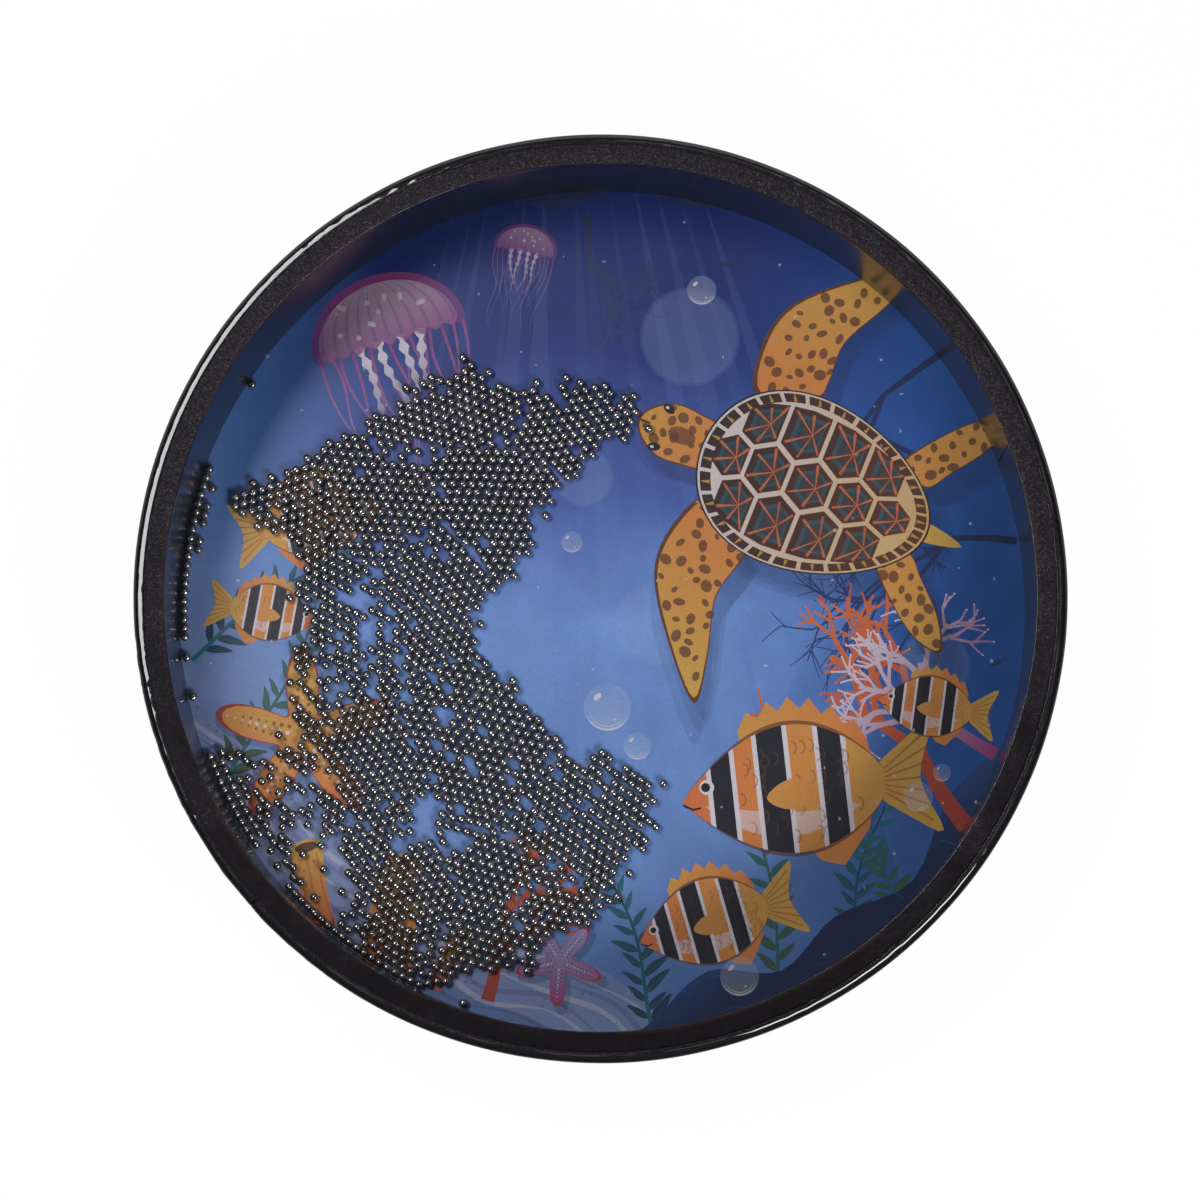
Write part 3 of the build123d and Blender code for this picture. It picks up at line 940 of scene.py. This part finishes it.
def bond_adhesive():
    """Black adhesive over fibre: speckled where it stayed dry, smooth where it wetted the film, and painted
    paler towards the top as painted light.
    """
    material, tree = new_material("adhesive")
    place = object_place(tree)
    radius = off_axis(tree, place)
    # Painted light: the pale dry tone is pushed towards the top side of the rim, so that side is painted
    # lighter and the lower side darker, over random dry and wet patches.
    lit_side = {0: place, 1: (0.06, 1.0, 0.0)}
    toward_lit_side = add(tree, "VectorMath", lit_side, operation="DOT_PRODUCT").outputs["Value"]
    patch = grain(tree, place, 16 * mm, detail=4.0, roughness=0.6)
    dry_and_lit = rise(tree, work_out(tree, "MULTIPLY_ADD", patch, 0.30, toward_lit_side), -0.01, 0.22)
    fibre = grain(tree, place, 0.9 * mm, detail=4.0, roughness=0.75)
    wet_and_shaded_tone = blend(tree, fibre, (0.0032, 0.0024, 0.0032), (0.0068, 0.0050, 0.0066))
    dry_and_lit_tone = blend(tree, rise(tree, fibre, 0.35, 0.70), (0.0105, 0.0085, 0.0115), (0.031, 0.026, 0.033))
    colour = blend(tree, dry_and_lit, wet_and_shaded_tone, dry_and_lit_tone)
    fleck = grain(tree, place, 0.42 * mm, detail=1.0, roughness=0.6)
    edge = rise(tree, radius, (rim_inner + 2.8) * mm, rim_inner * mm)
    limit = work_out(tree, "MULTIPLY_ADD", edge, -0.05, 0.76)
    limit = work_out(tree, "MULTIPLY_ADD", dry_and_lit, -0.14, limit)
    speck = rise(tree, work_out(tree, "SUBTRACT", fleck, limit), 0.0, 0.07)
    colour = blend(tree, times(tree, speck, 0.75), colour, (0.105, 0.095, 0.105))
    reddish = rise(tree, grain(tree, place, 26 * mm), 0.46, 0.60)
    reddish = times(tree, reddish, rise(tree, radius, (rim_inner + 1.6) * mm, rim_inner * mm))
    colour = blend(tree, times(tree, reddish, 0.40), colour, (0.045, 0.020, 0.017))
    inputs = {
        "Base Color": colour,
        "Roughness": work_out(tree, "MULTIPLY_ADD", dry_and_lit, 0.20, 0.50),
        "Specular IOR Level": 0.06,
        "Normal": bumps(tree, fibre, 0.03 * mm),
    }
    return coat(material, inputs)


adhesive = bond_adhesive()
dress("lower_bond", adhesive)
glue_ring = add_piece("glue_ring", bond_mesh(), adhesive)
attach(glue_ring, "drum")
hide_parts("upper_bond")


# The clear head
# A flat disc of clear glossy film, glued on top of the hoop and held down by the wrap's upper lip.
# It is faintly hazy and not quite flat.

film_gloss = 0.034


def clear_film():
    """Clear film with a little haze and a gloss that grows at a slant, the same from both sides."""
    material, tree = new_material("clear_film")
    place = object_place(tree)
    slack = grain(tree, place, 60 * mm, detail=2.0)
    normal = bumps(tree, slack, 0.25 * mm)
    dust = grain(tree, place, 2.5 * mm, detail=6.0, roughness=0.7)
    haze = times(tree, rise(tree, dust, 0.35, 0.85), 0.003)
    through = add(tree, "BsdfTransparent", {"Color": (0.985, 0.988, 0.990)})
    milk = add(tree, "BsdfDiffuse", {"Color": (0.80, 0.80, 0.82)})
    gloss = add(tree, "BsdfGlossy", {"Color": (1.0, 1.0, 1.0), "Roughness": 0.03, "Normal": normal})
    slant = add(tree, "LayerWeight", {"Blend": 0.5, "Normal": normal}).outputs["Facing"]
    mirrored = work_out(tree, "MULTIPLY_ADD", work_out(tree, "POWER", slant, 5.0), 1 - film_gloss, film_gloss)
    film = add(tree, "MixShader", {0: haze, 1: through.outputs[0], 2: milk.outputs[0]})
    shader = add(tree, "MixShader", {0: mirrored, 1: film.outputs[0], 2: gloss.outputs[0]})
    add(tree, "OutputMaterial", {"Surface": shader.outputs[0]})
    return material


dress("upper_head", clear_film())


# The edge wrap
# A strip of glossy black self-adhesive vinyl round the outside, folded over both films and pressed flat.
# Its upper lip slopes on one side, and is gathered and puckered on the other, near the strip's butt seam.

wrap_low, wrap_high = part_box("edge_wrap")
wrap_radius = wrap_high.x / mm
wrap_top = wrap_high.z / mm
wrap_bottom = wrap_low.z / mm
vinyl = 0.36
film_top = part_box("upper_head")[1].z / mm
upper_lip = 148.92
crease_radius = 0.9
rolled_radius = 3.0
shoulder_tilt = math.radians(33)
fold_tilt = math.radians(39)
outer_fold = 1.0
lower_lip = min(v.co.xy.length for v in frame["nodes"]["edge_wrap"].data.vertices) / mm
lower_fold = 3.0
sheen_line = 150.0
sheen_width = 0.25
wrap_seam = math.radians(222)
wrap_steps = 1200
sloped_stretch = (112, 182, 14)
rolled_stretch = (-80, -42, 10)
gathered_stretch = (186, 232, 5)
straight_pulls = ((208.5, 216.5), (216.5, 224.5), (224.5, 230.0))
inner_lip = 149.7
lip_gap = 0.02
lip_edge_radius = 0.14
lip_edge_start = math.radians(-75)


def away_from(turns, middle):
    """How far azimuths are from a middle one, in radians, below 0 on its one side and above on the other."""
    return (turns - middle + math.pi) % (2 * math.pi) - math.pi


def stretch(turns, start, end, soft):
    """1 between two azimuths in degrees, falling to 0 over a soft margin in degrees on each side."""
    middle = math.radians((start + end) / 2)
    half = (end - start) / 2
    away = np.abs(np.degrees(away_from(turns, middle)))
    t = np.clip((half + soft - away) / soft, 0, 1)
    return t * t * (3 - 2 * t)


def arc_points(start, radius, tilt_from, tilt_to, steps):
    """Points along an arc that turns from one tilt to another, and starts after the given point."""
    points = []
    for t in np.linspace(0, 1, steps + 1)[1:]:
        tilt = tilt_from + t * (tilt_to - tilt_from)
        out = radius * (np.sin(tilt) - np.sin(tilt_from))
        down = radius * (np.cos(tilt_from) - np.cos(tilt))
        points.append((start[0] + out, start[1] - down))
    return points


def pleats(turns, start, end, count, seed):
    """Random folds of uneven width between two azimuths in degrees, from 0 to 1 high."""
    draw = random.Random(seed)
    height = np.zeros_like(turns)
    for _ in range(count):
        middle = math.radians(draw.uniform(start, end))
        half = math.radians(draw.uniform(0.45, 1.6))
        away = away_from(turns, middle) / half
        height = np.maximum(height, draw.uniform(0.3, 1.0) * np.clip(1 - away * away, 0, 1))
    return height


def pulled_straight(turns, start, end):
    """The outer radius of the strip, where it is pulled straight between two azimuths in degrees."""
    middle, half = math.radians((start + end) / 2), math.radians((end - start) / 2)
    away = away_from(turns, middle)
    return np.where(np.abs(away) < half, wrap_radius * math.cos(half) / np.cos(away), wrap_radius)


def wrap_mesh():
    """The strip's section at each azimuth, from the upper lip out, down the band and back inside."""
    turns = seam_to_seam(wrap_seam, wrap_radius, wrap_steps)
    sloped = stretch(turns, *sloped_stretch)
    rolled = stretch(turns, *rolled_stretch)
    gathered = stretch(turns, *gathered_stretch)
    fine = ripple(turns, (61, 83, 97, 127, 149), 3)
    slow = ripple(turns, (5, 9, 13, 22), 5)
    folds = gathered * pleats(turns, 184, 234, 44, 4)

    # Each term says by how many millimetres or degrees the strip gives way where it waves, slopes or folds
    band = wrap_radius - 0.04 - 0.04 * slow - 0.22 * folds
    for start, end in straight_pulls:
        band = np.minimum(band, pulled_straight(turns, start, end))
    band = np.minimum(band, wrap_radius)
    lip = upper_lip + 0.05 * fine + 0.30 * folds
    tilt_one = np.radians(3 + 0.5 * sloped + 1.0 * fine * (1 - rolled) + 2.5 * folds)
    tilt_two = tilt_one + np.radians(2 + 6 * sloped)
    facet = 1.1 + 0.35 * sloped - 0.7 * rolled - 0.3 * folds
    crease = crease_radius + (rolled_radius - crease_radius) * rolled
    crown = wrap_top - 0.02 - 0.02 * fine - 0.12 * folds

    edge_rise = lip_edge_radius * (1 - math.cos(lip_edge_start))
    start = (lip, crown - edge_rise)
    loop = [(lip, film_top + lip_gap), start]
    loop += arc_points(start, lip_edge_radius, lip_edge_start, tilt_one, 5)
    loop += arc_points(loop[-1], facet / (np.sin(tilt_two) - np.sin(tilt_one)), tilt_one, tilt_two, 6)
    loop += arc_points(loop[-1], crease, tilt_two, shoulder_tilt, 8)
    shoulder = band - outer_fold * (1 - math.sin(fold_tilt)) - loop[-1][0]
    shoulder_radius = shoulder / (math.sin(fold_tilt) - math.sin(shoulder_tilt))
    loop += arc_points(loop[-1], shoulder_radius, shoulder_tilt, fold_tilt, 5)
    loop += arc_points(loop[-1], outer_fold, fold_tilt, math.pi / 2, 8)
    band_start, band_end = loop[-1][1], wrap_bottom + lower_fold
    for t in (0.2, 0.4, 0.6, 0.8, 1.0):
        wave = 0.05 * math.sin(math.pi * t) * ripple(turns + t, (7, 15, 29), 7)
        loop.append((np.minimum(band + wave, wrap_radius), band_start + t * (band_end - band_start)))
    for bend in np.radians((15, 30, 45, 60, 75, 90)):
        inward = lower_fold * (1 - math.cos(bend))
        loop.append((band - inward, band_end - lower_fold * math.sin(bend)))
    lip_end = lower_lip + 0.15 + 0.12 * ripple(turns, (19, 33, 52), 8)
    for t in (0.35, 0.7, 0.97, 1.0):
        height = wrap_bottom + (0.08 if t == 1.0 else 0.0)
        loop.append((band - lower_fold + t * (lip_end - band + lower_fold), height))
    loop.append((lip_end, wrap_bottom + vinyl))
    loop.append((band - lower_fold, wrap_bottom + vinyl))
    inner = lower_fold - vinyl
    for bend in np.radians((60, 30, 0)):
        inward = vinyl + inner * (1 - math.cos(bend))
        loop.append((band - inward, band_end - inner * math.sin(bend)))
    for tilt in np.radians((90, 60, 30)):
        inward = vinyl + inner * (1 - math.sin(tilt))
        loop.append((band - inward, band_start - 0.2 + 0.7 * inner * math.cos(tilt)))
    loop.append((inner_lip, film_top + lip_gap))
    return wound_strip("wrap", loop, turns)


def edge_vinyl():
    """Glossy black vinyl with a fine orange-peel skin, faint rub marks, dust on its flat lip, and a painted
    highlight along its upper crease.
    """
    material, tree = new_material("edge_vinyl")
    coordinates = add(tree, "TexCoord", {}).outputs
    place = coordinates["Object"]
    skin = grain(tree, place, 1.2 * mm, detail=2.0)
    rub = grain(tree, place, 9 * mm, detail=6.0, roughness=0.7)
    colour = blend(tree, rub, (0.0035, 0.0035, 0.0040), (0.0085, 0.0080, 0.0095))
    level = rise(tree, add(tree, "SeparateXYZ", {"Vector": coordinates["Normal"]}).outputs["Z"], 0.985, 0.998)
    lint = grain(tree, place, 0.8 * mm, detail=4.0, roughness=0.75)
    dusty = blend(tree, rise(tree, lint, 0.35, 0.70), (0.010, 0.008, 0.010), (0.034, 0.028, 0.034))
    colour = blend(tree, times(tree, level, 0.85), colour, dusty)
    dust = rise(tree, grain(tree, place, 0.35 * mm, detail=1.0), 0.72, 0.80)
    colour = blend(tree, times(tree, dust, 0.30), colour, (0.09, 0.09, 0.10))
    radius = off_axis(tree, place)
    # Painted highlight: a pale grey line along the crease of the upper fold, in patches, stands in for the
    # light the crease catches.
    from_line = work_out(tree, "ABSOLUTE", work_out(tree, "SUBTRACT", radius, sheen_line * mm))
    painted_sheen = rise(tree, from_line, sheen_width * mm, 0.0)
    painted_sheen = times(tree, painted_sheen, rise(tree, grain(tree, place, 11 * mm, detail=3.0), 0.42, 0.62))
    height = add(tree, "SeparateXYZ", {"Vector": place}).outputs["Z"]
    above = rise(tree, height, (film_top - 0.5) * mm, film_top * mm)
    colour = blend(tree, times(tree, painted_sheen, above), colour, (0.060, 0.055, 0.060))
    inputs = {
        "Base Color": colour,
        "Roughness": work_out(tree, "MULTIPLY_ADD", rub, 0.04, 0.022),
        "IOR": 1.52,
        "Normal": bumps(tree, skin, 0.002 * mm),
    }
    return coat(material, inputs)


edge_wrap = add_piece("wrap", wrap_mesh(), edge_vinyl())
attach(edge_wrap, "drum")
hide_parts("edge_wrap")


# The floor
# A plain white sweep of paper under the drum.
# It shows white to the camera and in reflections, and keeps a soft shadow.

floor_half = 9.0
floor_drop = 0.3 * mm
floor_glow = 0.97


def floor_mesh():
    """A flat sheet, a hair below the drum's underside."""
    mesh = bpy.data.meshes.new("floor")
    corners = [(x * floor_half, y * floor_half, -floor_drop) for x, y in ((-1, -1), (1, -1), (1, 1), (-1, 1))]
    mesh.from_pydata(corners, [], [(0, 1, 2, 3)])
    return mesh


def floor_paper():
    """White paper that is lit like any surface, and mostly glows white where it is seen."""
    material, tree = new_material("floor_paper")
    ray = add(tree, "LightPath", {}).outputs
    seen = work_out(tree, "MAXIMUM", ray["Is Camera Ray"], ray["Is Glossy Ray"])
    seen = work_out(tree, "MAXIMUM", seen, ray["Is Transmission Ray"])
    paper = add(tree, "BsdfDiffuse", {"Color": (0.85, 0.85, 0.85)})
    glow = add(tree, "Emission", {"Color": (1.0, 1.0, 1.0), "Strength": 1.0})
    share = times(tree, seen, floor_glow)
    shader = add(tree, "MixShader", {0: share, 1: paper.outputs[0], 2: glow.outputs[0]})
    add(tree, "OutputMaterial", {"Surface": shader.outputs[0]})
    return material


floor = add_piece("floor", floor_mesh(), floor_paper())


# The studio
# A white room with dim walls and a dark ceiling, two long softboxes over opposite corners, a dim panel at a
# third corner, and the camera above the drum.

room_white_to = math.sin(math.radians(4))
room_dark_from = math.sin(math.radians(12))
walls_from = math.sin(math.radians(26))
walls_to = math.sin(math.radians(62))
walls_end = math.sin(math.radians(68))
walls = (0.15, 0.15, 0.16)
ceiling = (0.018, 0.018, 0.020)
lamp_distance = 1.2


def room():
    """The world: white at the horizon, dim walls higher up, and dark overhead, which keeps the film clear."""
    world = bpy.data.worlds.new("room")
    world.use_nodes = True
    tree = world.node_tree
    tree.nodes.clear()
    direction = add(tree, "TexCoord", {}).outputs["Generated"]
    height = add(tree, "SeparateXYZ", {"Vector": direction}).outputs["Z"]
    lit = times(tree, rise(tree, height, room_dark_from, walls_from), rise(tree, height, walls_end, walls_to))
    above = blend(tree, lit, ceiling, walls)
    colour = blend(tree, rise(tree, height, room_white_to, room_dark_from), (1.0, 1.0, 1.0), above)
    light = add(tree, "Background", {"Color": colour, "Strength": 1.0})
    add(tree, "OutputWorld", {"Surface": light.outputs[0]})
    bpy.context.scene.world = world


def softbox(name, azimuth, elevation, width, depth, brightness):
    """A flat rectangular lamp that faces the drum. Its width runs round the drum."""
    lamp = bpy.data.lights.new(name, "AREA")
    lamp.shape = "RECTANGLE"
    lamp.size = width
    lamp.size_y = depth
    lamp.energy = brightness * width * depth * math.pi
    box = bpy.data.objects.new(name, lamp)
    turn, lift = math.radians(azimuth), math.radians(elevation)
    out = lamp_distance * math.cos(lift)
    box.location = (out * math.cos(turn), out * math.sin(turn), lamp_distance * math.sin(lift))
    box.rotation_euler = (math.pi / 2 - lift, 0.0, turn + math.pi / 2)
    bpy.context.scene.collection.objects.link(box)


room()
softbox("softbox_upper_left", 151, 60, width=0.78, depth=0.30, brightness=12.8)
softbox("softbox_lower_right", -51, 41, width=0.62, depth=0.27, brightness=20.5)
softbox("panel_upper_right", 62, 55, width=0.60, depth=0.30, brightness=0.7)

lens = bpy.data.cameras.new("camera")
lens.sensor_width = 36.0
lens.lens = 119.35
camera = bpy.data.objects.new("camera", lens)
camera.location = (0.01915, -0.14196, 1.33277)
camera.rotation_euler = (math.radians(6.180), math.radians(0.845), 0.0)
bpy.context.scene.collection.objects.link(camera)
bpy.context.scene.camera = camera
bpy.context.scene.view_settings.view_transform = "Standard"
